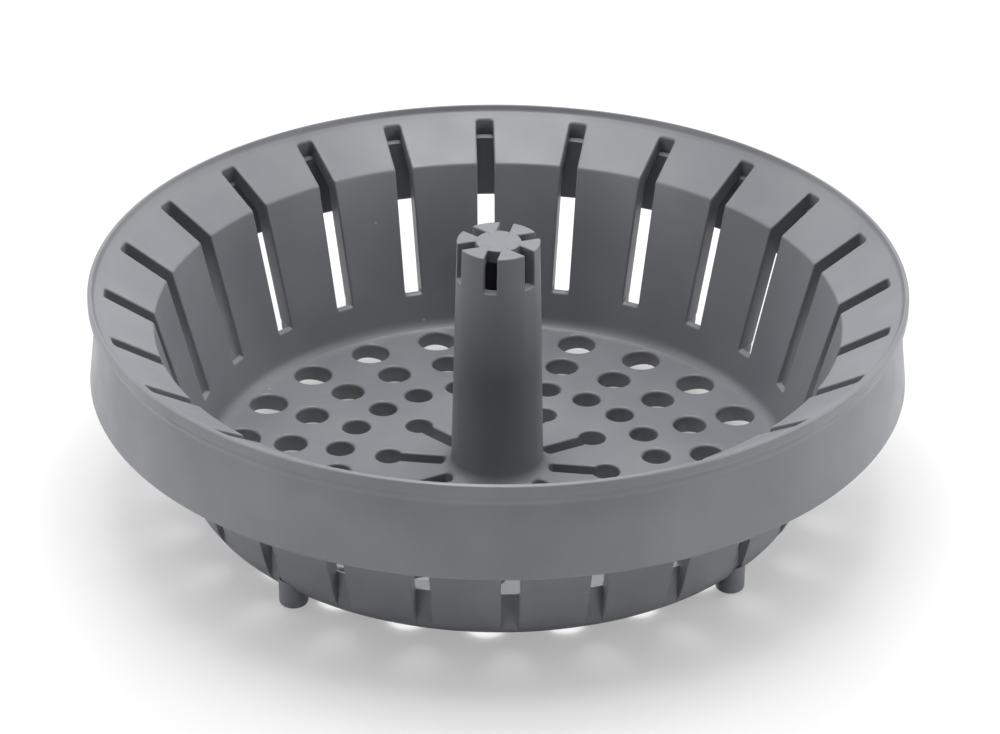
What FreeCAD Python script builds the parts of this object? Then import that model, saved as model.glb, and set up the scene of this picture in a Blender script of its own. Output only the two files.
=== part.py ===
import FreeCAD, Part
import Sketcher
import os

# Sink strainer, a soft grey silicone basket that stands in a kitchen drain.
# A lip carries a round skirt and a sloping flange. Slots divide the flange and the
# steep wall below it into petals. Under them a band of plain wall and a sieve floor
# close the basket. A hollow post with a notched crown stands in the middle, and four
# feet lie under the floor's edge.
# Frame: millimetres, +Z up, origin on the axis at the level of the feet's undersides.
# Rims, walls and holes are rings about Z, so an outline's X is a radius.

SIZES = [
    ("post_base_radius", 6.6, "post at the floor"),
    ("post_top_radius", 5.8, "post at its top"),
    ("post_rise", 5.45, "top of the post above the top of the lip"),
    ("post_wall", 1.5, "wall of the hollow post"),
    ("post_fillet", 1.8, "hollow rounding between floor and post"),
    ("root_share", 1.3, "height of the post's root, as a share of its fillet"),
    ("notch_count", 6, "notches in the post's crown"),
    ("notch_width", 1.9, "width of a notch"),
    ("notch_depth", 5.4, "depth of a notch"),
    ("notch_phase", 18.7, "turn of the first notch, degrees from +X"),
    ("crown_core_radius", 3.2, "solid middle of the crown, inside the notches"),
    ("crown_roof", 1.9, "thickness of the crown's closed top"),
    ("key_count", 10, "keyholes round the post"),
    ("key_phase", 28.8, "turn of the first keyhole, degrees from +X"),
    ("key_reach", 9.05, "centres of the keyholes' round ends, out from the foot of the post"),
    ("key_hole", 3.95, "diameter of a keyhole's round end"),
    ("key_slot_width", 2.2, "width of a keyhole's slot"),
    ("key_slot_start", 0.8, "start of a keyhole's slot, out from the foot of the post"),
    ("hub_margin", 1.7, "plain floor between the keyholes and the border of the hub"),
    ("ring_margin", 1.65, "plain floor between the border of the hub and the inner holes"),
    ("ring_pitch", 7.35, "distance from one ring of holes to the next"),
    ("hole_count", 22, "holes in each ring of the sieve"),
    ("hole_phase", 6.1, "turn of the first hole, degrees from +X"),
    ("inner_hole", 4.05, "diameter of an inner hole"),
    ("middle_hole", 4.75, "diameter of a middle hole"),
    ("outer_hole", 5.5, "diameter of an outer hole"),
    ("floor_margin", 1.15, "floor between the outer holes and the foot of the wall"),
    ("floor_thick", 2.75, "thickness of the floor"),
    ("floor_fillet", 2.0, "hollow rounding between floor and wall"),
    ("floor_edge_round", 6.7, "rounding of the basket's lower outer edge"),
    ("kerb_share", 1.2, "height of the floor's turned-up edge, as a share of its fillet"),
    ("basket_depth", 30.3, "top of the lip above the top of the floor"),
    ("wall_lean", 6.4, "knee outside the foot of the wall"),
    ("wall_thick", 2.3, "thickness of flange and wall"),
    ("knee_drop", 5.95, "knee between flange and wall, below the top of the lip"),
    ("flange_width", 6.8, "lip outside the knee"),
    ("flange_drop", 1.75, "flange at the lip, below the top of the lip"),
    ("slot_count", 24, "slots in flange and wall, and petals between them"),
    ("slot_width", 2.6, "width of a slot"),
    ("slot_floor_gap", 5.3, "plain wall below a slot, above the floor"),
    ("slot_phase", 2.4, "turn of the first slot, degrees from +X"),
    ("groove_spread", 0.5, "how much wider than a slot the groove below it is"),
    ("groove_share", 0.75, "depth of the groove at the foot of a slot, as a share of the wall"),
    ("lip_width", 2.2, "lip, across its top"),
    ("lip_edge", 1.65, "upright edge of the lip, below its top"),
    ("lip_slope", 1.5, "sloping underside of the edge, down to the skirt"),
    ("lip_overhang", 1.0, "how far the edge stands out over the skirt"),
    ("lip_cover", 0.5, "lip's depth below the flange that it carries"),
    ("lip_round_share", 0.27, "rounding of the lip's edge, as a share of its height"),
    ("skirt_wall", 1.8, "thickness of the skirt at the lip"),
    ("skirt_foot_wall", 3.4, "thickness of the skirt at its lower edge"),
    ("skirt_drop", 14.15, "skirt's lower edge, below the top of the lip"),
    ("skirt_flare", 1.25, "how far the skirt's lower edge stands out over its top"),
    ("skirt_round_share", 0.25, "rounding of the skirt's lower edge, as a share of its top's wall"),
    ("foot_count", 4, "feet under the floor"),
    ("foot_phase", 49.3, "turn of the first foot, degrees from +X"),
    ("foot_inset", 1.05, "centres of the feet, inside the basket's lower edge"),
    ("foot_radius", 2.0, "radius of a foot"),
    ("foot_height", 0.55, "feet below the floor"),
    ("foot_climb_share", 0.52, "how far a foot climbs the rounded edge, as a share of its rounding"),
]

# Places that follow from the sizes. Radii run from the post outwards, and levels are
# heights above the feet's undersides.
PLACES = [
    ("key_ring_radius", "Sizes.post_base_radius + Sizes.key_reach"),
    ("hub_radius", "key_ring_radius + Sizes.key_hole / 2 + Sizes.hub_margin"),
    ("inner_ring_radius", "hub_radius + Sizes.ring_margin + Sizes.inner_hole / 2"),
    ("middle_ring_radius", "inner_ring_radius + Sizes.ring_pitch"),
    ("outer_ring_radius", "middle_ring_radius + Sizes.ring_pitch"),
    ("wall_foot_radius", "outer_ring_radius + Sizes.outer_hole / 2 + Sizes.floor_margin"),
    ("knee_radius", "wall_foot_radius + Sizes.wall_lean"),
    ("lip_inside", "knee_radius + Sizes.flange_width"),
    ("rim_radius", "lip_inside + Sizes.lip_width"),
    ("floor_top", "Sizes.foot_height + Sizes.floor_thick"),
    ("rim_top", "floor_top + Sizes.basket_depth"),
    ("flange_top", "rim_top - Sizes.flange_drop"),
    ("knee_top", "rim_top - Sizes.knee_drop"),
    ("flange_slope", "(flange_top - knee_top) / Sizes.flange_width"),
    ("wall_slope", "Sizes.wall_lean / (knee_top - floor_top)"),
    ("flange_deep", "Sizes.wall_thick * sqrt(1 + flange_slope ^ 2)"),
    ("wall_wide", "Sizes.wall_thick * sqrt(1 + wall_slope ^ 2)"),
    ("knee_out", "(wall_wide - wall_slope * flange_deep) / (1 - wall_slope * flange_slope)"),
    ("knee_back", "knee_top - flange_deep + flange_slope * knee_out"),
    ("lip_foot", "flange_top - flange_deep - Sizes.lip_cover"),
    ("edge_foot", "rim_top - Sizes.lip_edge"),
    ("neck_level", "edge_foot - Sizes.lip_slope"),
    ("skirt_foot", "rim_top - Sizes.skirt_drop"),
    ("skirt_neck", "rim_radius - Sizes.lip_overhang"),
    ("skirt_slope", "Sizes.skirt_flare / (neck_level - skirt_foot)"),
    ("skirt_top_outside", "skirt_neck + skirt_slope * (neck_level - lip_foot)"),
    ("skirt_foot_outside", "skirt_neck + Sizes.skirt_flare"),
    ("band_top", "floor_top + Sizes.slot_floor_gap"),
    ("band_foot", "floor_top + Sizes.floor_fillet * Sizes.kerb_share"),
    ("band_top_inside", "wall_foot_radius + wall_slope * (band_top - floor_top)"),
    ("band_top_outside", "band_top_inside + wall_wide"),
    ("band_foot_inside", "wall_foot_radius + wall_slope * (band_foot - floor_top)"),
    ("band_foot_outside", "band_foot_inside + wall_wide"),
    ("floor_edge_radius", "wall_foot_radius + wall_wide - wall_slope * Sizes.floor_thick"),
    ("groove_radius", "band_top_outside - wall_wide * Sizes.groove_share"),
    ("groove_sweep", "2 * asin((Sizes.slot_width + Sizes.groove_spread) / 2 / band_foot_outside)"),
    ("edge_inset", "Sizes.floor_edge_round * tan(45 deg - atan(wall_slope) / 2)"),
    ("edge_centre_radius", "floor_edge_radius - edge_inset"),
    ("edge_centre_level", "Sizes.foot_height + Sizes.floor_edge_round"),
    ("foot_ring_radius", "floor_edge_radius - Sizes.foot_inset"),
    ("foot_top", "Sizes.foot_height + Sizes.floor_edge_round * Sizes.foot_climb_share"),
    ("post_top", "rim_top + Sizes.post_rise"),
    ("post_taper", "(Sizes.post_base_radius - Sizes.post_top_radius) / (post_top - floor_top)"),
    ("bore_radius", "Sizes.post_base_radius - Sizes.post_wall + post_taper * Sizes.floor_thick"),
    ("root_top", "floor_top + Sizes.post_fillet * Sizes.root_share"),
    ("root_radius", "Sizes.post_base_radius - post_taper * (root_top - floor_top)"),
    ("crown_foot", "post_top - Sizes.notch_depth"),
    ("crown_radius", "Sizes.post_base_radius - post_taper * (crown_foot - floor_top)"),
    ("roof_level", "post_top - Sizes.crown_roof"),
    ("roof_radius", "Sizes.post_top_radius + post_taper * Sizes.crown_roof - Sizes.post_wall"),
]

ON_CIRCLE = 1e-4  # how near, in mm, an edge lies to the circle that is looked for

doc = FreeCAD.newDocument("sink_strainer")


def fill_sheet(name, rows):
    """Makes a sheet with one named cell in each row, and its meaning beside it."""
    sheet = doc.addObject("Spreadsheet::Sheet", name)
    for number, (alias, content, meaning) in enumerate(rows, start=1):
        sheet.set(f"A{number}", meaning)
        sheet.set(f"B{number}", content)
        sheet.setAlias(f"B{number}", alias)
    doc.recompute()
    return sheet


fill_sheet("Sizes", [(alias, str(value), meaning) for alias, value, meaning in SIZES])
places = fill_sheet("Places", [(alias, "=" + formula, alias) for alias, formula in PLACES])
sizes = doc.getObject("Sizes")


def new_body(label, turn=None):
    """Makes an empty body, turned about the axis by a formula in degrees."""
    body = doc.addObject("PartDesign::Body", label)
    body.Label = label
    body.Placement.Rotation = FreeCAD.Rotation(FreeCAD.Vector(0, 0, 1), 1)
    body.setExpression("Placement.Rotation.Angle", turn or "0")
    return body


def origin_feature(body, role):
    """Finds one of the body's own base planes or axes."""
    return next(feature for feature in body.Origin.OriginFeatures if feature.Role == role)


def new_sketch(body, role, turn="0"):
    """Makes a sketch on one of the body's own base planes, turned about the plane's Y."""
    sketch = body.newObject("Sketcher::SketchObject", body.Label + "_sketch")
    sketch.AttachmentSupport = [(origin_feature(body, role), "")]
    sketch.MapMode = "FlatFace"
    sketch.AttachmentOffset.Rotation = FreeCAD.Rotation(FreeCAD.Vector(0, 1, 0), 1)
    sketch.setExpression("AttachmentOffset.Rotation.Angle", turn)
    return sketch


def value_of(sketch, formula):
    """Works out a formula of the sheets, for the first place of a point."""
    return float(sketch.evalExpression(formula))


def pin_point(sketch, geometry, point, formulas):
    """Ties a point of the sketch to a pair of formulas, measured from the axis."""
    for kind, formula in zip(("DistanceX", "DistanceY"), formulas):
        place = value_of(sketch, formula)
        row = sketch.addConstraint(Sketcher.Constraint(kind, -1, 1, geometry, point, place))
        sketch.setExpression(f"Constraints[{row}]", formula)


def draw_outline(sketch, corners):
    """Draws a closed outline of straight lines, with each corner a pair of formulas."""
    spots = [FreeCAD.Vector(value_of(sketch, x), value_of(sketch, y), 0) for x, y in corners]
    lines = []
    for spot, following in zip(spots, spots[1:] + spots[:1]):
        lines.append(sketch.addGeometry(Part.LineSegment(spot, following)))
    for line, following in zip(lines, lines[1:] + lines[:1]):
        sketch.addConstraint(Sketcher.Constraint("Coincident", line, 2, following, 1))
    for line, corner in zip(lines, corners):
        pin_point(sketch, line, 1, corner)


def draw_circle(sketch, centre, diameter):
    """Draws a circle whose centre and diameter are formulas."""
    spot = FreeCAD.Vector(value_of(sketch, centre[0]), value_of(sketch, centre[1]), 0)
    size = value_of(sketch, diameter)
    circle = sketch.addGeometry(Part.Circle(spot, FreeCAD.Vector(0, 0, 1), size / 2))
    pin_point(sketch, circle, 3, centre)
    row = sketch.addConstraint(Sketcher.Constraint("Diameter", circle, size))
    sketch.setExpression(f"Constraints[{row}]", diameter)


def draw_slot(sketch, start, end, width):
    """Draws a straight slot along X, from one formula to another."""
    side = f"({width}) / 2"
    draw_outline(sketch, [(start, f"-{side}"), (end, f"-{side}"), (end, side), (start, side)])


def turn_outline(body, corners, sweep="360"):
    """Turns an outline of radii and levels about the axis."""
    sketch = new_sketch(body, "XZ_Plane")
    draw_outline(sketch, corners)
    ring = body.newObject("PartDesign::Revolution", body.Label + "_ring")
    ring.Profile = sketch
    ring.ReferenceAxis = (origin_feature(body, "Z_Axis"), [""])
    ring.setExpression("Angle", sweep)
    doc.recompute()
    return ring


def groove(body, draw, *formulas, sweep="360", turn="0"):
    """Cuts what a sketch of radii and levels sweeps, half of it to each side of the sketch."""
    sketch = new_sketch(body, "XZ_Plane", turn)
    draw(sketch, *formulas)
    ring = body.newObject("PartDesign::Groove", body.Label + "_groove")
    ring.Profile = sketch
    ring.ReferenceAxis = (origin_feature(body, "Z_Axis"), [""])
    ring.Midplane = True
    ring.setExpression("Angle", sweep)
    doc.recompute()
    return ring


def cut(body, role, draw, *formulas):
    """Cuts what a sketch shows out of the body, from its base plane outwards."""
    sketch = new_sketch(body, role)
    draw(sketch, *formulas)
    pocket = body.newObject("PartDesign::Pocket", body.Label + "_cut")
    pocket.Profile = sketch
    pocket.Type = "ThroughAll"
    pocket.Reversed = True
    doc.recompute()
    return pocket


def repeat(body, features, count, sweep="360"):
    """Repeats cuts round the axis."""
    pattern = body.newObject("PartDesign::PolarPattern", body.Label + "_pattern")
    pattern.Originals = features
    pattern.Axis = (origin_feature(body, "Z_Axis"), [""])
    pattern.setExpression("Angle", sweep)
    pattern.setExpression("Occurrences", count)
    body.Tip = pattern
    doc.recompute()
    return pattern


def round_circles(body, base, radius, circles):
    """Rounds the body's round edges that have the given radii and levels."""
    names = []
    for number, edge in enumerate(base.Shape.Edges, start=1):
        if not isinstance(edge.Curve, Part.Circle):
            continue
        for wanted, level in circles:
            near = abs(edge.Curve.Radius - wanted) < ON_CIRCLE
            if near and abs(edge.Curve.Center.z - level) < ON_CIRCLE:
                names.append(f"Edge{number}")
    rounding = body.newObject("PartDesign::Fillet", body.Label + "_round")
    rounding.Base = (base, names)
    rounding.setExpression("Radius", radius)
    doc.recompute()
    return rounding


def make_rim_lip():
    """The edge round the top, and the ring under it that carries flange and skirt."""
    body = new_body("rim_lip")
    ring = turn_outline(body, [
        ("Places.lip_inside", "Places.lip_foot"),
        ("Places.skirt_top_outside", "Places.lip_foot"),
        ("Places.skirt_neck", "Places.neck_level"),
        ("Places.rim_radius", "Places.edge_foot"),
        ("Places.rim_radius", "Places.rim_top"),
        ("Places.lip_inside", "Places.flange_top"),
    ])
    lip_edges = [(places.rim_radius, places.rim_top), (places.rim_radius, places.edge_foot)]
    round_circles(body, ring, "Sizes.lip_edge * Sizes.lip_round_share", lip_edges)
    return body


def make_rim_skirt():
    """The flared skirt that hangs from the lip and stands round the drain."""
    body = new_body("rim_skirt")
    ring = turn_outline(body, [
        ("Places.skirt_foot_outside - Sizes.skirt_foot_wall", "Places.skirt_foot"),
        ("Places.skirt_foot_outside", "Places.skirt_foot"),
        ("Places.skirt_top_outside", "Places.lip_foot"),
        ("Places.skirt_top_outside - Sizes.skirt_wall", "Places.lip_foot"),
    ])
    outer_edge = (places.skirt_foot_outside, places.skirt_foot)
    inner_edge = (places.skirt_foot_outside - sizes.skirt_foot_wall, places.skirt_foot)
    foot_edges = [outer_edge, inner_edge]
    round_circles(body, ring, "Sizes.skirt_wall * Sizes.skirt_round_share", foot_edges)
    return body


def make_petal(number):
    """One strip of flange and wall between two slots, bent at the knee."""
    pitch = "360 / Sizes.slot_count"
    body = new_body(f"petal_{number:02d}", f"Sizes.slot_phase + {number - 1} * {pitch}")
    turn_outline(body, [
        ("Places.lip_inside", "Places.flange_top"),
        ("Places.knee_radius", "Places.knee_top"),
        ("Places.band_top_inside", "Places.band_top"),
        ("Places.band_top_outside", "Places.band_top"),
        ("Places.knee_radius + Places.knee_out", "Places.knee_back"),
        ("Places.lip_inside", "Places.flange_top - Places.flange_deep"),
    ], pitch)
    slot = cut(body, "XY_Plane", draw_slot, "0", "Places.rim_radius", "Sizes.slot_width")
    repeat(body, [slot], "2", pitch)
    return body


def make_wall_band():
    """The ring of wall under the slots, with a groove below each that runs out downwards."""
    body = new_body("wall_band", "Sizes.slot_phase")
    turn_outline(body, [
        ("Places.band_foot_inside", "Places.band_foot"),
        ("Places.band_foot_outside", "Places.band_foot"),
        ("Places.band_top_outside", "Places.band_top"),
        ("Places.band_top_inside", "Places.band_top"),
    ])
    channel = groove(body, draw_outline, [
        ("Places.groove_radius", "Places.band_foot"),
        ("Places.rim_radius", "Places.band_foot"),
        ("Places.rim_radius", "Places.band_top"),
        ("Places.groove_radius", "Places.band_top"),
    ], sweep="Places.groove_sweep")
    repeat(body, [channel], "Sizes.slot_count")
    return body


def make_sieve_floor():
    """The floor outside the hub, with its turned-up edge and three rings of holes."""
    body = new_body("sieve_floor", "Sizes.hole_phase")
    ring = turn_outline(body, [
        ("Places.hub_radius", "Sizes.foot_height"),
        ("Places.floor_edge_radius", "Sizes.foot_height"),
        ("Places.band_foot_outside", "Places.band_foot"),
        ("Places.band_foot_inside", "Places.band_foot"),
        ("Places.wall_foot_radius", "Places.floor_top"),
        ("Places.hub_radius", "Places.floor_top"),
    ])
    corner = [(places.wall_foot_radius, places.floor_top)]
    hollow = round_circles(body, ring, "Sizes.floor_fillet", corner)
    lower_edge = [(places.floor_edge_radius, sizes.foot_height)]
    round_circles(body, hollow, "Sizes.floor_edge_round", lower_edge)
    holes = []
    for ring_name in ("outer", "middle", "inner"):
        centre = (f"Places.{ring_name}_ring_radius", "0")
        holes.append(cut(body, "XY_Plane", draw_circle, centre, f"Sizes.{ring_name}_hole"))
    repeat(body, holes, "Sizes.hole_count")
    channel = groove(body, draw_outline, [
        ("Places.groove_radius", "Sizes.foot_height"),
        ("Places.rim_radius", "Sizes.foot_height"),
        ("Places.rim_radius", "Places.band_foot"),
        ("Places.groove_radius", "Places.band_foot"),
    ], sweep="Places.groove_sweep", turn="Sizes.slot_phase - Sizes.hole_phase")
    repeat(body, [channel], "Sizes.slot_count")
    return body


def make_post_hub():
    """The middle of the floor with the post's root, and keyholes that let it flex."""
    body = new_body("post_hub", "Sizes.key_phase")
    ring = turn_outline(body, [
        ("Places.bore_radius", "Sizes.foot_height"),
        ("Places.hub_radius", "Sizes.foot_height"),
        ("Places.hub_radius", "Places.floor_top"),
        ("Sizes.post_base_radius", "Places.floor_top"),
        ("Places.root_radius", "Places.root_top"),
        ("Places.root_radius - Sizes.post_wall", "Places.root_top"),
    ])
    corner = [(sizes.post_base_radius, places.floor_top)]
    round_circles(body, ring, "Sizes.post_fillet", corner)
    centre = ("Places.key_ring_radius", "0")
    end = cut(body, "XY_Plane", draw_circle, centre, "Sizes.key_hole")
    start = "Sizes.post_base_radius + Sizes.key_slot_start"
    slot = cut(body, "XY_Plane", draw_slot, start, "Places.key_ring_radius", "Sizes.key_slot_width")
    repeat(body, [end, slot], "Sizes.key_count")
    return body


def make_post_tube():
    """The hollow, tapered post between its root and its crown."""
    body = new_body("post_tube")
    turn_outline(body, [
        ("Places.root_radius - Sizes.post_wall", "Places.root_top"),
        ("Places.root_radius", "Places.root_top"),
        ("Places.crown_radius", "Places.crown_foot"),
        ("Places.crown_radius - Sizes.post_wall", "Places.crown_foot"),
    ])
    return body


def make_post_crown():
    """The closed top of the post, with notches that open into its bore."""
    body = new_body("post_crown", "Sizes.notch_phase")
    turn_outline(body, [
        ("Places.crown_radius - Sizes.post_wall", "Places.crown_foot"),
        ("Places.crown_radius", "Places.crown_foot"),
        ("Sizes.post_top_radius", "Places.post_top"),
        ("0", "Places.post_top"),
        ("0", "Places.roof_level"),
        ("Places.roof_radius", "Places.roof_level"),
    ])
    outside = "Sizes.post_base_radius + Sizes.post_top_radius"
    notch = cut(body, "XY_Plane", draw_slot, "Sizes.crown_core_radius", outside, "Sizes.notch_width")
    repeat(body, [notch], "Sizes.notch_count")
    return body


def make_foot(number):
    """One round foot under the floor's edge, hollowed to fit the edge's rounding."""
    body = new_body(f"foot_{number}", f"Sizes.foot_phase + {number - 1} * 360 / Sizes.foot_count")
    sketch = new_sketch(body, "XY_Plane")
    draw_circle(sketch, ("Places.foot_ring_radius", "0"), "2 * Sizes.foot_radius")
    stud = body.newObject("PartDesign::Pad", body.Label + "_stud")
    stud.Profile = sketch
    stud.setExpression("Length", "Places.foot_top")
    doc.recompute()
    centre = ("Places.edge_centre_radius", "Places.edge_centre_level")
    groove(body, draw_circle, centre, "2 * Sizes.floor_edge_round")
    return body


def check_document(bodies):
    """Stops if a feature failed, a cut took nothing away or a shape isn't sound."""
    for thing in doc.Objects:
        if "Invalid" in thing.State or "Error" in thing.State:
            raise RuntimeError(f"{thing.Label} failed: {thing.State}")
        if thing.TypeId in ("PartDesign::Pocket", "PartDesign::Groove", "PartDesign::PolarPattern"):
            if thing.Shape.Volume >= thing.BaseFeature.Shape.Volume:
                raise RuntimeError(f"{thing.Label} cuts nothing")
    for body in bodies:
        if body.Shape.isNull() or not body.Shape.isValid() or len(body.Shape.Solids) != 1:
            raise RuntimeError(f"{body.Label} isn't one sound solid")


bodies = [make_rim_lip(), make_rim_skirt()]
bodies += [make_petal(number) for number in range(1, int(sizes.slot_count) + 1)]
bodies += [make_wall_band(), make_sieve_floor(), make_post_hub(), make_post_tube(), make_post_crown()]
bodies += [make_foot(number) for number in range(1, int(sizes.foot_count) + 1)]
doc.recompute()
check_document(bodies)

os.makedirs("parts", exist_ok=True)
for body in bodies:
    body.Shape.exportStep(f"parts/{body.Label}.step")
    print(body.Label, round(body.Shape.Volume, 2))
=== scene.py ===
import math
from bisect import bisect_right

import bmesh
import bpy
from mathutils import Matrix


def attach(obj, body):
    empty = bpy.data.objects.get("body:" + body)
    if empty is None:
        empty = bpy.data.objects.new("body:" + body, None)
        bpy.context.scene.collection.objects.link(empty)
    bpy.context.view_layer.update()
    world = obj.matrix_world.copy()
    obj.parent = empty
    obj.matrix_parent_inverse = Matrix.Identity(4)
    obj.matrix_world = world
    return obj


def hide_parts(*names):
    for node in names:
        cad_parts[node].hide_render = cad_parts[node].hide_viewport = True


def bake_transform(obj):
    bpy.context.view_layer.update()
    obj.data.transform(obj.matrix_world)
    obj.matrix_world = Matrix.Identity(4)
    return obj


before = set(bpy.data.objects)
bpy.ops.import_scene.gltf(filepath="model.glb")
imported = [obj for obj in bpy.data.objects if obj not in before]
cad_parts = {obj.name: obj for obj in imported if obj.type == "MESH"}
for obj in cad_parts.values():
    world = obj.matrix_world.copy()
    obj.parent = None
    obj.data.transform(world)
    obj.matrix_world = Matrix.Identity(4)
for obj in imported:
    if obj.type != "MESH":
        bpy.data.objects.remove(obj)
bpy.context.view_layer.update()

# Sink strainer: a soft grey basket that stands in a kitchen drain. It is one silicone moulding, and its
# zones are made here one after the other, from the rim inwards to the post. Lengths are millimetres, levels
# are heights above the undersides of the feet, and turns are degrees from +X.

# Rim
# The ring round the top: a raised edge, with a skirt hanging from it that flares a little towards its foot
# and grows thicker there. It is moulded in one with the basket, in grey silicone 2 to 3 mm thick.
MM = 0.001
RIM_SEAM_RADIUS = 55.4
RIM_SEAM_TOP = 32.22
RIM_SEAM_UNDER = 29.52
LIP_RADIUS = 57.0
SKIRT_FOOT_RADIUS = 57.25
SKIRT_FOOT_INSIDE = 53.85
SKIRT_FOOT_LEVEL = 19.45
SKIRT_FOOT_ROUND = 0.45
RIM_TURNS = 288
ROUNDING_STEPS = 8
SHARP_ANGLE = 40
WELD_REACH = 0.002


def round_corners(corners, steps):
    """Turns a closed outline of (radius, level, rounding) corners into points with round corners."""
    points = []
    for number, (x, y, rounding) in enumerate(corners):
        if rounding == 0:
            points.append((x, y))
            continue
        back = corners[number - 1]
        ahead = corners[(number + 1) % len(corners)]
        to_back = math.atan2(back[1] - y, back[0] - x)
        to_ahead = math.atan2(ahead[1] - y, ahead[0] - x)
        opening = math.remainder(to_ahead - to_back, math.tau)
        middle = to_back + opening / 2
        reach = rounding / abs(math.sin(opening / 2))
        sweep = math.copysign(math.pi - abs(opening), opening)
        for step in range(steps + 1):
            angle = middle + math.pi + sweep * (0.5 - step / steps)
            points.append((x + reach * math.cos(middle) + rounding * math.cos(angle),
                           y + reach * math.sin(middle) + rounding * math.sin(angle)))
    return points


def turn_outline(outline, turns):
    """Turns a closed outline of radii and levels about the axis, as points and faces."""
    points = []
    for turn in range(turns):
        angle = math.tau * turn / turns
        points += [(x * math.cos(angle), x * math.sin(angle), y) for x, y in outline]
    faces = []
    size = len(outline)
    for turn in range(turns):
        here = turn * size
        there = (turn + 1) % turns * size
        for spot in range(size):
            following = (spot + 1) % size
            faces.append((here + spot, here + following, there + following, there + spot))
    return points, faces


def linear(colour):
    """Turns an sRGB hex colour to linear light."""
    parts = [int(colour[place:place + 2], 16) / 255 for place in (1, 3, 5)]
    return [part / 12.92 if part <= 0.04045 else ((part + 0.055) / 1.055) ** 2.4 for part in parts] + [1.0]


def add_node(tree, kind, values=None, links=None, **settings):
    """Adds a node with its settings, the values of its sockets, and the sockets that feed it."""
    node = tree.nodes.new(kind)
    for name, value in settings.items():
        setattr(node, name, value)
    for socket, value in (values or {}).items():
        node.inputs[socket].default_value = value
    for socket, source in (links or {}).items():
        tree.links.new(source, node.inputs[socket])
    return node


def moulded_silicone():
    """Grey silicone rubber from a blasted steel mould: satin, a little cloudy, finely grained and dusty."""
    material = bpy.data.materials.new("moulded_grey_silicone")
    material.use_nodes = True
    tree = material.node_tree
    shader = tree.nodes["Principled BSDF"]
    shader.inputs["IOR"].default_value = 1.43
    place = add_node(tree, "ShaderNodeTexCoord").outputs["Object"]
    # Clouds, where pigment and cure differ a little.
    cloud_size = 14 * MM
    clouds = add_node(tree, "ShaderNodeTexNoise", {"Scale": 1 / cloud_size, "Detail": 3.0}, {"Vector": place})
    tone = add_node(tree, "ShaderNodeValToRGB", links={"Fac": clouds.outputs["Fac"]})
    tone.color_ramp.elements[0].position = 0.3
    tone.color_ramp.elements[0].color = linear("#6A6B70")
    tone.color_ramp.elements[1].position = 0.7
    tone.color_ramp.elements[1].color = linear("#747579")
    # Silicone draws dust: pale specks about 0.4 mm across, thinly strewn.
    speck_spacing = 13 * MM
    dust = add_node(tree, "ShaderNodeTexVoronoi", {"Scale": 1 / speck_spacing}, {"Vector": place})
    speck = add_node(tree, "ShaderNodeMapRange",
                     {"From Min": 0.012, "From Max": 0.02, "To Min": 0.5, "To Max": 0.0},
                     {"Value": dust.outputs["Distance"]})
    dusty = add_node(tree, "ShaderNodeMix", {7: linear("#B0B0B2")},
                     {0: speck.outputs[0], 6: tone.outputs["Color"]}, data_type="RGBA")
    tree.links.new(dusty.outputs[2], shader.inputs["Base Color"])
    # Patches where handling has left more or less of a film.
    film_size = 6 * MM
    film = add_node(tree, "ShaderNodeTexNoise", {"Scale": 1 / film_size, "Detail": 4.0}, {"Vector": place})
    gloss = add_node(tree, "ShaderNodeMapRange",
                     {"From Min": 0.3, "From Max": 0.7, "To Min": 0.33, "To Max": 0.43},
                     {"Value": film.outputs["Fac"]})
    tree.links.new(gloss.outputs[0], shader.inputs["Roughness"])
    # Slow waves, as soft walls keep from cooling and packing.
    wave_length = 16 * MM
    waves = add_node(tree, "ShaderNodeTexNoise", {"Scale": 1 / wave_length, "Detail": 1.0}, {"Vector": place})
    wavy = add_node(tree, "ShaderNodeBump", {"Strength": 0.3, "Distance": 0.4 * MM},
                    {"Height": waves.outputs["Fac"]})
    # The blasted mould leaves a grain near 0.1 mm. It is drawn coarser, as fine as the render can show.
    grain_size = 0.5 * MM
    grain = add_node(tree, "ShaderNodeTexNoise", {"Scale": 1 / grain_size, "Detail": 2.0}, {"Vector": place})
    bump = add_node(tree, "ShaderNodeBump", {"Strength": 0.15, "Distance": 0.05 * MM},
                    {"Height": grain.outputs["Fac"], "Normal": wavy.outputs["Normal"]})
    tree.links.new(bump.outputs["Normal"], shader.inputs["Normal"])
    return material


silicone = moulded_silicone()


def make_piece(name, points, faces, open_rings=()):
    """Makes a closed, smooth piece of silicone, and joins the open edges that lie on each open ring."""
    shape = bmesh.new()
    spots = [shape.verts.new([length * MM for length in point]) for point in points]
    for face in faces:
        shape.faces.new([spots[number] for number in face])
    bmesh.ops.remove_doubles(shape, verts=shape.verts, dist=WELD_REACH * MM)
    for radius, reach in open_rings:
        edges = []
        for edge in shape.edges:
            middle = (edge.verts[0].co + edge.verts[1].co) / 2
            if edge.is_boundary and abs(middle.xy.length - radius * MM) < reach * MM:
                edges.append(edge)
        bmesh.ops.bridge_loops(shape, edges=edges)
    bmesh.ops.recalc_face_normals(shape, faces=shape.faces)
    mesh = bpy.data.meshes.new(name)
    shape.to_mesh(mesh)
    shape.free()
    mesh.shade_smooth()
    mesh.set_sharp_from_angle(angle=math.radians(SHARP_ANGLE))
    mesh.materials.append(silicone)
    piece = bpy.data.objects.new(name, mesh)
    bpy.context.scene.collection.objects.link(piece)
    normals = piece.modifiers.new("even_shading", "WEIGHTED_NORMAL")
    normals.keep_sharp = True
    return piece


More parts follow.
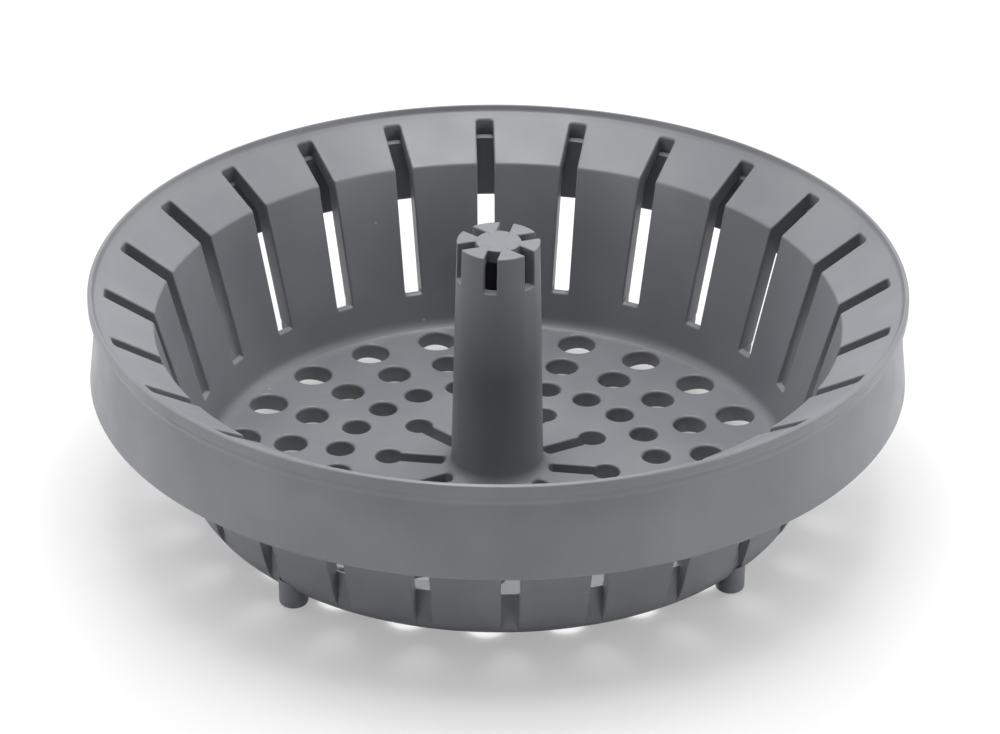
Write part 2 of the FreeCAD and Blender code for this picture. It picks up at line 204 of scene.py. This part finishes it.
# The section of the ring: from the flange up over the lip, down the skirt's outside, and up inside it.
rim_corners = [
    (RIM_SEAM_RADIUS, RIM_SEAM_TOP, 0),
    (56.1, 32.72, 0.9),
    (56.45, 33.58, 0.22),
    (LIP_RADIUS, 33.28, 0.25),
    (LIP_RADIUS, 31.95, 0.6),
    (56.0, 30.45, 1.6),
    (SKIRT_FOOT_RADIUS, SKIRT_FOOT_LEVEL, SKIRT_FOOT_ROUND),
    (SKIRT_FOOT_INSIDE, SKIRT_FOOT_LEVEL, SKIRT_FOOT_ROUND),
    (54.4, 28.9, 0),
    (RIM_SEAM_RADIUS, RIM_SEAM_UNDER, 0),
]
rim = make_piece("rim_ring", *turn_outline(round_corners(rim_corners, ROUNDING_STEPS), RIM_TURNS))
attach(rim, "rim")
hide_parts("rim_lip", "rim_skirt")

# Slotted wall
# The sloping flange and the steep wall under it, bent at a knee and divided by 24 slots into petals. Each
# slot runs on below as a groove outside. The wall is moulded in one with the rim, and it is the soft part
# that rolls over when the basket is turned inside out.
SLOT_COUNT = 24
SLOT_PHASE = 2.4
SLOT_HALF = 1.3
SLOT_TOP_RADIUS = 54.8
SLOT_FOOT_LEVEL = 8.6
SLOT_ROUND = 0.4
SLOT_EDGES = (0.25, 0.1)
# The wall's section: its knee, its foot, the hollow inside and the rounded edge outside.
WALL_THICK = 2.3
WALL_LEAN = 14.7
KNEE_LEVEL = 27.65
INNER_KNEE = (48.0, KNEE_LEVEL)
OUTER_KNEE = (49.99, 26.18)
INNER_KNEE_ROUND = 0.6
OUTER_KNEE_ROUND = 0.9
INNER_FOOT = (41.6, 3.3)
OUTER_FOOT = (43.26, 0.55)
HOLLOW_CENTRE = (40.06, 5.3)
HOLLOW_RADIUS = 2.0
HOLLOW_END = -56.9
EDGE_CENTRE = (38.09, 7.25)
EDGE_RADIUS = 6.7
EDGE_END = -62.8
FLOOR_SEAM_RADIUS = 41.15
# The groove below each slot: how deep it goes, and where its sides and its top begin and end.
GROOVE_RADIUS = 43.7
GROOVE_RISE = 1.7
GROOVE_SIDE = (1.15, 1.32)
GROOVE_START = (0.6, 0.3)
PARALLEL_SIDE = (2.0, 4.5)
# How finely the mesh is divided.
KNEE_STEPS = 6
KNEE_REACH = 1.2
EDGE_STEPS = 10
SIDE_STEP = 0.3
STRIP_RISE = 0.5
STRIP_ROWS = 14
FLANGE_ROWS = 6
WALL_ROWS = 22
SLOT_TOP_STEPS = 8
WALL_SEAM_REACH = 0.2


def arc(centre, radius, start, end, steps):
    """Points along an arc between two angles in degrees."""
    points = []
    for step in range(steps + 1):
        angle = math.radians(start + (end - start) * step / steps)
        points.append((centre[0] + radius * math.cos(angle), centre[1] + radius * math.sin(angle)))
    return points


inner_corners = [(RIM_SEAM_RADIUS, RIM_SEAM_TOP, 0), (*INNER_KNEE, INNER_KNEE_ROUND), (*INNER_FOOT, 0)]
outer_corners = [(RIM_SEAM_RADIUS, RIM_SEAM_UNDER, 0), (*OUTER_KNEE, OUTER_KNEE_ROUND), (*OUTER_FOOT, 0)]
inner_wall = round_corners(inner_corners, KNEE_STEPS)[:-1]
inner_wall += arc(HOLLOW_CENTRE, HOLLOW_RADIUS, -WALL_LEAN, HOLLOW_END, EDGE_STEPS)
outer_wall = round_corners(outer_corners, KNEE_STEPS)[:-1]
outer_wall += arc(EDGE_CENTRE, EDGE_RADIUS, -WALL_LEAN, EDGE_END, EDGE_STEPS)
wall_runs = [0.0]
for (x, y), (next_x, next_y) in zip(inner_wall, inner_wall[1:]):
    wall_runs.append(wall_runs[-1] + math.hypot(next_x - x, next_y - y))


def smooth(value, low, high):
    """Runs smoothly from 0 at low to 1 at high."""
    share = min(max((value - low) / (high - low), 0.0), 1.0)
    return share * share * (3 - 2 * share)


def wall_section(run):
    """The inner and the outer point of the wall at a distance along its inside."""
    number = min(max(bisect_right(wall_runs, run) - 1, 0), len(wall_runs) - 2)
    share = (run - wall_runs[number]) / (wall_runs[number + 1] - wall_runs[number])
    ends = []
    for line in (inner_wall, outer_wall):
        ends.append([low + (high - low) * share for low, high in zip(line[number], line[number + 1])])
    return ends


def wall_run(place, value):
    """The distance along the wall's inside at which its radius or its level has a value."""
    for number, (here, there) in enumerate(zip(inner_wall, inner_wall[1:])):
        if there[place] <= value <= here[place]:
            share = (here[place] - value) / (here[place] - there[place])
            return wall_runs[number] + share * (wall_runs[number + 1] - wall_runs[number])
    raise ValueError("the wall doesn't reach that place")


slot_top = wall_run(0, SLOT_TOP_RADIUS)
slot_foot = wall_run(1, SLOT_FOOT_LEVEL)
strip_top = slot_foot + STRIP_RISE


def wall_point(turn):
    """Gives the function that places a point of one petal's cell, from inside (0) to outside (1)."""
    def place(run, side, depth):
        inner, outer = wall_section(run)
        groove_back = GROOVE_RADIUS + GROOVE_RISE * smooth(abs(side), *GROOVE_SIDE)
        groove_begun = smooth(run, slot_foot - GROOVE_START[0], slot_foot - GROOVE_START[1])
        groove_deep = max(outer[0] - groove_back, 0.0) * groove_begun
        radius = inner[0] + (outer[0] - groove_deep - inner[0]) * depth
        level = inner[1] + (outer[1] - inner[1]) * depth
        # A slot's sides are parallel, and the cell's borders lie on radii.
        swing = inner[0] + (radius - inner[0]) * (1 - smooth(abs(side), *PARALLEL_SIDE))
        angle = turn + math.asin(side / swing)
        return radius * math.cos(angle), radius * math.sin(angle), level
    return place


def pierce(outline, border, place, thick, edges, rings=4, steps=4):
    """Makes a cell round a hole: both faces from the border to it, round edges, and the hole's wall."""
    loops = []
    for face, edge in enumerate(edges):
        rows = []
        for ring in range(rings):
            share = ring / rings
            rows.append([place(a + (x + edge * nx - a) * share, b + (y + edge * ny - b) * share, face)
                         for (x, y, nx, ny), (a, b) in zip(outline, border)])
        for step in range(steps + 1):
            angle = math.pi / 2 * step / steps
            out = edge * (1 - math.sin(angle))
            depth = abs(face - edge * (1 - math.cos(angle)) / thick)
            rows.append([place(x + out * nx, y + out * ny, depth) for x, y, nx, ny in outline])
        loops += reversed(rows) if face else rows
    points = [point for loop in loops for point in loop]
    size = len(outline)
    faces = []
    for loop in range(len(loops) - 1):
        for spot in range(size):
            here = loop * size + spot
            there = loop * size + (spot + 1) % size
            faces.append((here, there, there + size, here + size))
    return points, faces


def gather(parts):
    """Puts several sets of points and faces into one."""
    points, faces = [], []
    for some_points, some_faces in parts:
        faces += [tuple(number + len(points) for number in face) for face in some_faces]
        points += some_points
    return points, faces


def grid(rows):
    """Makes faces between rows of points."""
    wide = len(rows[0])
    faces = []
    for row in range(len(rows) - 1):
        for spot in range(wide - 1):
            here = row * wide + spot
            faces.append((here, here + 1, here + wide + 1, here + wide))
    return [point for row in rows for point in row], faces


half_pitch = math.sin(math.pi / SLOT_COUNT)
strip_columns = [0.0, 0.5, 0.95, 1.12, 1.18, 1.24, 1.3, 1.38, 1.6, 2.0]
strip_shares = [0.25, 0.5, 0.75, 1.0]


def strip_sides(run):
    """Places across the strip below a slot: close together at the groove, and up to the cell's border."""
    border = wall_section(run)[0][0] * half_pitch
    last = strip_columns[-1]
    right = strip_columns + [last + (border - last) * share for share in strip_shares]
    return [-side for side in reversed(right[1:])] + right


def slot_top_point(share):
    """A point of a slot's square top with small round corners, across it from -1 to 1."""
    tilt = math.copysign(max(abs(share) - 0.5, 0.0) * math.pi, share)
    side = (SLOT_HALF - SLOT_ROUND) * min(max(2 * share, -1.0), 1.0) + SLOT_ROUND * math.sin(tilt)
    return slot_top + SLOT_ROUND * (1 - math.cos(tilt)), side, -math.cos(tilt), math.sin(tilt)


def slot_foot_point(side, rank):
    """Where a column of the strip meets the slot: on its foot, or beyond that, by rank, on its side."""
    way = math.copysign(1.0, side)
    if rank > 0:
        return slot_foot - SLOT_ROUND - rank * SIDE_STEP, way * SLOT_HALF, 0.0, way
    tilt = math.asin(min(max(abs(side) - SLOT_HALF + SLOT_ROUND, 0.0) / SLOT_ROUND, 1.0))
    return slot_foot - SLOT_ROUND * (1 - math.cos(tilt)), side, math.cos(tilt), way * math.sin(tilt)


bottom = strip_sides(strip_top)
end_columns = strip_columns.index(SLOT_HALF)
middle_column = len(bottom) // 2
knee_run = wall_run(1, KNEE_LEVEL)
rows_start = slot_top + SLOT_ROUND
rows_end = slot_foot - SLOT_ROUND - (middle_column - end_columns + 1) * SIDE_STEP
slot_rows = [knee_run]
for step in (0.12, 0.25, 0.4, 0.7, KNEE_REACH):
    slot_rows += [knee_run - step, knee_run + step]
for row in range(FLANGE_ROWS):
    slot_rows.append(rows_start + (knee_run - KNEE_REACH - rows_start) * row / FLANGE_ROWS)
for row in range(1, WALL_ROWS + 1):
    slot_rows.append(knee_run + KNEE_REACH + (rows_end - knee_run - KNEE_REACH) * row / WALL_ROWS)
slot_rows.sort(reverse=True)

slot_outline, slot_border = [], []
for number, side in enumerate(bottom):
    slot_outline.append(slot_foot_point(side, abs(number - middle_column) - end_columns))
    slot_border.append((strip_top, side))
for run in slot_rows[:-1]:
    slot_outline.append((run, SLOT_HALF, 0.0, 1.0))
    slot_border.append((run, wall_section(run)[0][0] * half_pitch))
top_side = RIM_SEAM_RADIUS * half_pitch
for number in range(SLOT_TOP_STEPS + 1):
    share = 1 - 2 * number / SLOT_TOP_STEPS
    slot_outline.append(slot_top_point(share))
    slot_border.append((0.0, top_side * share))
for run in reversed(slot_rows[:-1]):
    slot_outline.append((run, -SLOT_HALF, 0.0, -1.0))
    slot_border.append((run, -wall_section(run)[0][0] * half_pitch))

cells = []
for number in range(SLOT_COUNT):
    place = wall_point(math.radians(SLOT_PHASE) + math.tau * number / SLOT_COUNT)
    cells.append(pierce(slot_outline, slot_border, place, WALL_THICK, SLOT_EDGES))
    for face in (0, 1):
        rows = []
        for row in range(STRIP_ROWS + 1):
            run = strip_top + (wall_runs[-1] - strip_top) * row / STRIP_ROWS
            rows.append([place(run, side, face) for side in strip_sides(run)])
        cells.append(grid(rows))
wall_rings = [(RIM_SEAM_RADIUS, WALL_SEAM_REACH), (FLOOR_SEAM_RADIUS, WALL_SEAM_REACH)]
wall = make_piece("slotted_wall", *gather(cells), wall_rings)
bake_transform(wall)
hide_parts(*[f"petal_{number:02d}" for number in range(1, SLOT_COUNT + 1)], "wall_band")

# Sieve floor
# The flat floor with three rings of 22 round holes. Its edge turns up into the wall, and the outer holes
# reach into that hollow. It is moulded in one with the wall, and the holes' edges are softly rounded.
HOLE_COUNT = 22
HOLE_PHASE = 6.1
HUB_RADIUS = 19.33
FLOOR_TOP = 3.3
FLOOR_UNDER = 0.55
FLOOR_THICK = FLOOR_TOP - FLOOR_UNDER
INNER_BORDER = 26.7
OUTER_BORDER = 34.0
HOLE_EDGES = (0.4, 0.3)
HOLE_STEPS = 12
FLOOR_SEAM_REACH = 0.1
# For each ring: its radius, how wide its holes are, and the radii between which its cells lie.
hole_rings = [
    (23.0, 4.05, HUB_RADIUS, INNER_BORDER),
    (30.35, 4.75, INNER_BORDER, OUTER_BORDER),
    (37.7, 5.5, OUTER_BORDER, FLOOR_SEAM_RADIUS),
]


def edge_level(beyond):
    """The level of the floor's rounded lower edge, at a distance beyond the start of the rounding."""
    return EDGE_CENTRE[1] - math.sqrt(EDGE_RADIUS ** 2 - beyond ** 2)


def floor_point(turn):
    """Gives the function that places a point of one hole's cell, from the top (0) to the underside (1)."""
    def place(x, y, depth):
        radius = math.hypot(x, y)
        top, under = FLOOR_TOP, FLOOR_UNDER
        if radius > HOLLOW_CENTRE[0]:
            top = HOLLOW_CENTRE[1] - math.sqrt(HOLLOW_RADIUS ** 2 - (radius - HOLLOW_CENTRE[0]) ** 2)
        if radius > EDGE_CENTRE[0]:
            under = edge_level(radius - EDGE_CENTRE[0])
        angle = turn + math.atan2(y, x)
        return radius * math.cos(angle), radius * math.sin(angle), top + (under - top) * depth
    return place


def sector(inner, outer, half, arc_steps, side_steps):
    """Points round a sector of a ring, anticlockwise from the outer corner on the right."""
    points = []
    for step in range(arc_steps):
        points.append((outer, half * (2 * step / arc_steps - 1)))
    for step in range(side_steps):
        points.append((outer + (inner - outer) * step / side_steps, half))
    for step in range(arc_steps):
        points.append((inner, half * (1 - 2 * step / arc_steps)))
    for step in range(side_steps):
        points.append((inner + (outer - inner) * step / side_steps, -half))
    return [(radius * math.cos(angle), radius * math.sin(angle)) for radius, angle in points]


cells = []
for centre, across, inner, outer in hole_rings:
    border = sector(inner, outer, math.pi / HOLE_COUNT, HOLE_STEPS, HOLE_STEPS)
    outline = []
    for x, y in border:
        angle = math.atan2(y, x - centre)
        outline.append((centre + across / 2 * math.cos(angle), across / 2 * math.sin(angle),
                        math.cos(angle), math.sin(angle)))
    for number in range(HOLE_COUNT):
        turn = math.radians(HOLE_PHASE) + math.tau * number / HOLE_COUNT
        cells.append(pierce(outline, border, floor_point(turn), FLOOR_THICK, HOLE_EDGES))
floor_rings = [(HUB_RADIUS, FLOOR_SEAM_REACH), (FLOOR_SEAM_RADIUS, FLOOR_SEAM_REACH)]
floor = make_piece("sieve_floor_disc", *gather(cells), floor_rings)
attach(floor, "basket_floor")
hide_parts("sieve_floor")

# Post hub
# The middle of the floor. Ten keyholes point at the post, so that the floor round it can flex, and a hollow
# rounding runs up into the root of the post. Moulded in one with the floor.
KEY_COUNT = 10
KEY_PHASE = 28.8
KEY_RING = 15.65
KEY_ROUND = 1.975
KEY_HALF = 1.1
KEY_START = 7.4
KEY_END_ROUND = 0.6
KEY_FAR_TURN = 55
KEY_EDGES = (0.28, 0.25)
KEY_ARC_STEPS = 12
KEY_SIDE_STEPS = 16
KEY_ROUND_STEPS = 8
HUB_CELL_RADIUS = 6.95
POST_FILLET = 1.8
FILLET_CENTRE = 8.36
FILLET_END = 181.3
FILLET_STEPS = 8
ROOT_TOP = 5.64
ROOT_RADIUS = 6.548
ROOT_REACH = 0.9
POST_WALL = 1.5
BORE_FOOT_RADIUS = 5.16
BORE_FOOT_ROUND = 0.4
BORE_STEPS = 4


def hub_point(turn):
    """Gives the function that places a point of one keyhole's cell, from its top (0) to its underside (1)."""
    def place(x, y, depth):
        radius = math.hypot(x, y)
        top = FLOOR_TOP
        if radius < FILLET_CENTRE:
            top += POST_FILLET - math.sqrt(POST_FILLET ** 2 - (FILLET_CENTRE - radius) ** 2)
        angle = turn + math.atan2(y, x)
        return radius * math.cos(angle), radius * math.sin(angle), top + (FLOOR_UNDER - top) * depth
    return place


key_border = sector(HUB_CELL_RADIUS, HUB_RADIUS, math.pi / KEY_COUNT, KEY_ARC_STEPS, KEY_SIDE_STEPS)
neck_angle = math.pi - math.asin(KEY_HALF / KEY_ROUND)
key_neck = KEY_RING + KEY_ROUND * math.cos(neck_angle)
key_end = KEY_START + KEY_END_ROUND
far_angle = math.radians(KEY_FAR_TURN)
half_arc = KEY_ARC_STEPS // 2
neck_steps = KEY_SIDE_STEPS - KEY_ROUND_STEPS
right_half = []
for step in range(half_arc + 1):
    right_half.append(("round", far_angle * step / half_arc))
for step in range(1, KEY_ROUND_STEPS + 1):
    right_half.append(("round", far_angle + (neck_angle - far_angle) * step / KEY_ROUND_STEPS))
for step in range(1, neck_steps + 1):
    right_half.append(("side", key_neck + (key_end - key_neck) * step / neck_steps))
for step in range(1, half_arc + 1):
    right_half.append(("end", math.pi / 2 * step / half_arc))


def key_spot(kind, value):
    """A point of the keyhole's outline with the direction that leads away from the hole."""
    if kind == "round":
        x, y = math.cos(value), math.sin(value)
        return KEY_RING + KEY_ROUND * x, KEY_ROUND * y, x, y
    if kind == "side":
        return value, KEY_HALF, 0.0, 1.0
    x, y = -math.sin(value), math.cos(value)
    flat = (KEY_HALF - KEY_END_ROUND) * (1 - value / (math.pi / 2))
    return key_end + KEY_END_ROUND * x, flat + KEY_END_ROUND * y, x, y


half_outline = [key_spot(kind, value) for kind, value in right_half]
mirrored = [(x, -y, nx, -ny) for x, y, nx, ny in half_outline]
key_outline = mirrored[half_arc:0:-1] + half_outline + mirrored[-2:half_arc:-1]
cells = []
for number in range(KEY_COUNT):
    turn = math.radians(KEY_PHASE) + math.tau * number / KEY_COUNT
    place = hub_point(turn)
    cells.append(pierce(key_outline, key_border, place, FLOOR_THICK, KEY_EDGES))
    shares = [2 * step / KEY_ARC_STEPS - 1 for step in range(KEY_ARC_STEPS + 1)]
    angles = [turn + math.pi / KEY_COUNT * share for share in shares]
    start = math.degrees(math.asin((FILLET_CENTRE - HUB_CELL_RADIUS) / POST_FILLET))
    root = arc((FILLET_CENTRE, FLOOR_TOP + POST_FILLET), POST_FILLET, 270 - start, FILLET_END, FILLET_STEPS)
    root.append((ROOT_RADIUS, ROOT_TOP))
    bore_edge = BORE_FOOT_RADIUS + BORE_FOOT_ROUND
    bore = [(HUB_CELL_RADIUS, FLOOR_UNDER), (bore_edge, FLOOR_UNDER)]
    bore += arc((bore_edge, FLOOR_UNDER + BORE_FOOT_ROUND), BORE_FOOT_ROUND, 270, 180, BORE_STEPS)
    bore.append((ROOT_RADIUS - POST_WALL, ROOT_TOP))
    for line in (root, bore):
        rows = [[(x * math.cos(angle), x * math.sin(angle), y) for angle in angles] for x, y in line]
        cells.append(grid(rows))
hub_rings = [(HUB_RADIUS, FLOOR_SEAM_REACH), (ROOT_RADIUS - POST_WALL / 2, ROOT_REACH)]
hub = make_piece("keyhole_hub", *gather(cells), hub_rings)
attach(hub, "basket_floor")
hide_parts("post_hub")

# Post
# The hollow post by which the basket is lifted out and pushed inside out. It tapers a little so that it
# leaves the mould. Six notches in its closed crown open into the bore and let water through from above.
NOTCH_COUNT = 6
NOTCH_PHASE = 18.7
NOTCH_HALF = 0.95
CROWN_FOOT = 33.65
ROOF_LEVEL = 37.15
POST_TOP = 39.05
POST_TOP_RADIUS = 5.8
CORE_RADIUS = 3.2
POST_EDGE_WIDTH = 0.38
FINGER_STEPS = 10
post_columns = FINGER_STEPS + 2
post_levels = [ROOT_TOP, CROWN_FOOT, ROOF_LEVEL, POST_TOP]
# The post is built of cells round the axis, each with a notch's number, a column, a ring and a level. These
# cells hold silicone: the tube, the fingers between the notches, and the roof over the bore.
filled = set()
for number in range(NOTCH_COUNT):
    for column in range(post_columns):
        in_notch = column >= FINGER_STEPS
        filled.add((number, column, 3, 0))
        if not in_notch:
            filled.update([(number, column, 3, 1), (number, column, 2, 2), (number, column, 3, 2)])
        filled.update([(number, column, 0, 2), (number, column, 1, 2)])


def post_spot(number, column, ring, level):
    """A corner of the post's grid. Notches have parallel sides, and bore and outside taper together."""
    rise = (post_levels[level] - ROOT_TOP) / (POST_TOP - ROOT_TOP)
    outside = ROOT_RADIUS + (POST_TOP_RADIUS - ROOT_RADIUS) * rise
    radius = [0.0, CORE_RADIUS / 2, CORE_RADIUS, outside - POST_WALL, outside][ring]
    edge = math.asin(NOTCH_HALF / max(radius, CORE_RADIUS))
    pitch = math.tau / NOTCH_COUNT
    if column <= FINGER_STEPS:
        angle = edge + (pitch - 2 * edge) * column / FINGER_STEPS
    else:
        angle = pitch + edge * (column - FINGER_STEPS - 1)
    angle += math.radians(NOTCH_PHASE) + pitch * number
    return radius * math.cos(angle), radius * math.sin(angle), post_levels[level]


points, faces = [], []
for number, column, ring, level in sorted(filled):
    after = (number, column + 1) if column + 1 < post_columns else ((number + 1) % NOTCH_COUNT, 0)
    before = (number, column - 1) if column else ((number - 1) % NOTCH_COUNT, post_columns - 1)
    low = [(number, column, ring, level), (number, column, ring + 1, level),
           (number, column + 1, ring + 1, level), (number, column + 1, ring, level)]
    high = [(*spot[:3], level + 1) for spot in low]
    sides = [
        ((number, column, ring, level - 1), low),
        ((number, column, ring, level + 1), high),
        ((number, column, ring + 1, level), [low[1], low[2], high[2], high[1]]),
        ((*after, ring, level), [low[2], low[3], high[3], high[2]]),
        ((*before, ring, level), [low[0], low[1], high[1], high[0]]),
    ]
    if ring:
        sides.append(((number, column, ring - 1, level), [low[0], low[3], high[3], high[0]]))
    for neighbour, corners in sides:
        if neighbour in filled:
            continue
        spots = list(dict.fromkeys(post_spot(*corner) for corner in corners))
        faces.append(tuple(range(len(points), len(points) + len(spots))))
        points += spots
post = make_piece("hollow_post", points, faces)
rounded = post.data.attributes.new("bevel_weight_edge", "FLOAT", "EDGE")
for edge, sharp in zip(post.data.edges, post.data.attributes["sharp_edge"].data):
    in_crown = all(post.data.vertices[spot].co.z > (ROOT_TOP + 1) * MM for spot in edge.vertices)
    rounded.data[edge.index].value = 1.0 if sharp.value and in_crown else 0.0
softened = post.modifiers.new("soft_edges", "BEVEL")
softened.width = POST_EDGE_WIDTH * MM
softened.segments = 3
softened.limit_method = "WEIGHT"
post.modifiers.move(1, 0)
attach(post, "basket_floor")
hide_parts("post_tube", "post_crown")

# Feet
# Four small round studs under the floor's edge. They hold the floor off the bottom of the drain, so that
# water runs away under it. Moulded in one with the floor, and rounded underneath.
FOOT_COUNT = 4
FOOT_PHASE = 49.3
FOOT_RING = 42.2
FOOT_RADIUS = 2.0
FOOT_ROUND = 0.6
FOOT_ROUND_STEPS = 6
FOOT_TURNS = 48
FOOT_SUNK = 0.35
FOOT_REACH = 5.8
for number in range(FOOT_COUNT):
    turn = math.radians(FOOT_PHASE) + math.tau * number / FOOT_COUNT
    side_line = [(0.0, 0.0)]
    side_line += arc((FOOT_RADIUS - FOOT_ROUND, FOOT_ROUND), FOOT_ROUND, 270, 360, FOOT_ROUND_STEPS)
    rings = []
    for step in range(FOOT_TURNS + 1):
        angle = math.tau * step / FOOT_TURNS
        ring = []
        for reach, level in side_line + [(FOOT_RADIUS, None), (FOOT_RADIUS / 2, None), (0.0, None)]:
            x, y = FOOT_RING + reach * math.cos(angle), reach * math.sin(angle)
            if level is None:
                # The top lies inside the floor's rounded edge, a little above its underside.
                level = edge_level(min(math.hypot(x, y) - EDGE_CENTRE[0], FOOT_REACH)) + FOOT_SUNK
            ring.append((x * math.cos(turn) - y * math.sin(turn),
                         x * math.sin(turn) + y * math.cos(turn), level))
        rings.append(ring)
    foot = make_piece(f"stud_{number + 1}", *grid(rings))
    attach(foot, "basket_floor")
    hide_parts(f"foot_{number + 1}")

# Table and backdrop
# A table of white acrylic with a faint gloss, which keeps the object's shadow. Round it stands a white tent
# that is open in front.
TABLE_HALF = 3.0
TABLE_GLOW = 0.35
TENT_EDGE = 0.3
TENT_LIGHT = 2.2
WHITE = (1.0, 1.0, 1.0, 1.0)
table_mesh = bpy.data.meshes.new("white_table")
corners = [(-TABLE_HALF, -TABLE_HALF, 0), (TABLE_HALF, -TABLE_HALF, 0), (TABLE_HALF, TABLE_HALF, 0),
           (-TABLE_HALF, TABLE_HALF, 0)]
table_mesh.from_pydata(corners, [], [(0, 1, 2, 3)])
white = bpy.data.materials.new("white_acrylic_table")
white.use_nodes = True
tree = white.node_tree
shader = tree.nodes["Principled BSDF"]
shader.inputs["Base Color"].default_value = linear("#CDCDCD")
shader.inputs["Roughness"].default_value = 0.35
shader.inputs["IOR"].default_value = 1.49
# For the camera the table glows a little, which lifts its shadows as the photograph's white ground does.
rays = add_node(tree, "ShaderNodeLightPath")
lift = add_node(tree, "ShaderNodeMath", {1: TABLE_GLOW}, {0: rays.outputs["Is Camera Ray"]},
                operation="MULTIPLY")
glow = add_node(tree, "ShaderNodeEmission", {"Color": WHITE, "Strength": 1.0})
lifted = add_node(tree, "ShaderNodeMixShader",
                  links={0: lift.outputs[0], 1: shader.outputs[0], 2: glow.outputs[0]})
tree.links.new(lifted.outputs[0], tree.nodes["Material Output"].inputs["Surface"])
table_mesh.materials.append(white)
table = bpy.data.objects.new("white_table", table_mesh)
bpy.context.scene.collection.objects.link(table)

world = bpy.data.worlds.new("white_studio")
bpy.context.scene.world = world
world.use_nodes = True
tree = world.node_tree
tree.nodes.clear()
rays = add_node(tree, "ShaderNodeLightPath")
seen = add_node(tree, "ShaderNodeMath",
                links={0: rays.outputs["Is Camera Ray"], 1: rays.outputs["Is Glossy Ray"]},
                operation="MAXIMUM")
seen = add_node(tree, "ShaderNodeMath", links={0: seen.outputs[0], 1: rays.outputs["Is Transmission Ray"]},
                operation="MAXIMUM")
# Behind the object the tent is white, and in front the room is dark. The camera sees white all round.
around = add_node(tree, "ShaderNodeTexCoord").outputs["Generated"]
way = add_node(tree, "ShaderNodeSeparateXYZ", links={0: around})
tent = add_node(tree, "ShaderNodeMapRange",
                {"From Min": -TENT_EDGE, "From Max": TENT_EDGE, "To Min": 0.0, "To Max": 1.0},
                {"Value": way.outputs["Y"]})
shown = add_node(tree, "ShaderNodeMath", links={0: tent.outputs[0], 1: rays.outputs["Is Camera Ray"]},
                 operation="MAXIMUM")
glow = add_node(tree, "ShaderNodeMath", {1: TENT_LIGHT}, {0: tent.outputs[0]}, operation="MULTIPLY")
lighting = add_node(tree, "ShaderNodeBackground", {"Color": WHITE}, {"Strength": glow.outputs[0]})
white_tent = add_node(tree, "ShaderNodeBackground", {"Color": WHITE}, {"Strength": shown.outputs[0]})
both = add_node(tree, "ShaderNodeMixShader",
                links={0: seen.outputs[0], 1: lighting.outputs[0], 2: white_tent.outputs[0]})
add_node(tree, "ShaderNodeOutputWorld", links={"Surface": both.outputs[0]})

# Lights
# Soft boxes as in a product tent: a wide one overhead, one at each side, and a low one in front on the left
# and on the right. Each has its place and its width in metres, and its power in watts.
lights = [
    ("overhead_box", (0.0, 0.0, 0.9), 0.5, 7.0),
    ("left_box", (-0.8, 0.15, 0.3), 0.6, 1.1),
    ("right_box", (0.8, 0.15, 0.3), 0.6, 1.6),
    ("left_front_box", (-0.65, -0.5, 0.09), 0.3, 2.3),
    ("right_front_box", (0.65, -0.5, 0.09), 0.3, 2.45),
]
for name, spot, size, power in lights:
    lamp = bpy.data.lights.new(name, "AREA")
    lamp.size = size
    lamp.energy = power
    holder = bpy.data.objects.new(name, lamp)
    holder.location = spot
    holder.rotation_euler = (-holder.location).to_track_quat("-Z", "Y").to_euler()
    bpy.context.scene.collection.objects.link(holder)

# Camera
# It stands in front, about half a metre away and 29 degrees up, with a long lens, as in the photograph.
CAMERA_PLACE = (0.31, -456.65, 272.19)
CAMERA_TILT = 29.0
CAMERA_ROLL = 0.37
SENSOR_WIDTH = 36.0
LENS_LENGTH = 133.2
camera_data = bpy.data.cameras.new("camera")
camera_data.sensor_width = SENSOR_WIDTH
camera_data.lens = LENS_LENGTH
camera = bpy.data.objects.new("camera", camera_data)
tilt = Matrix.Rotation(math.radians(90 - CAMERA_TILT), 4, "X")
roll = Matrix.Rotation(math.radians(CAMERA_ROLL), 4, "Z")
camera.matrix_world = Matrix.Translation([length * MM for length in CAMERA_PLACE]) @ (tilt @ roll)
bpy.context.scene.collection.objects.link(camera)
bpy.context.scene.camera = camera
bpy.context.scene.view_settings.view_transform = "Standard"
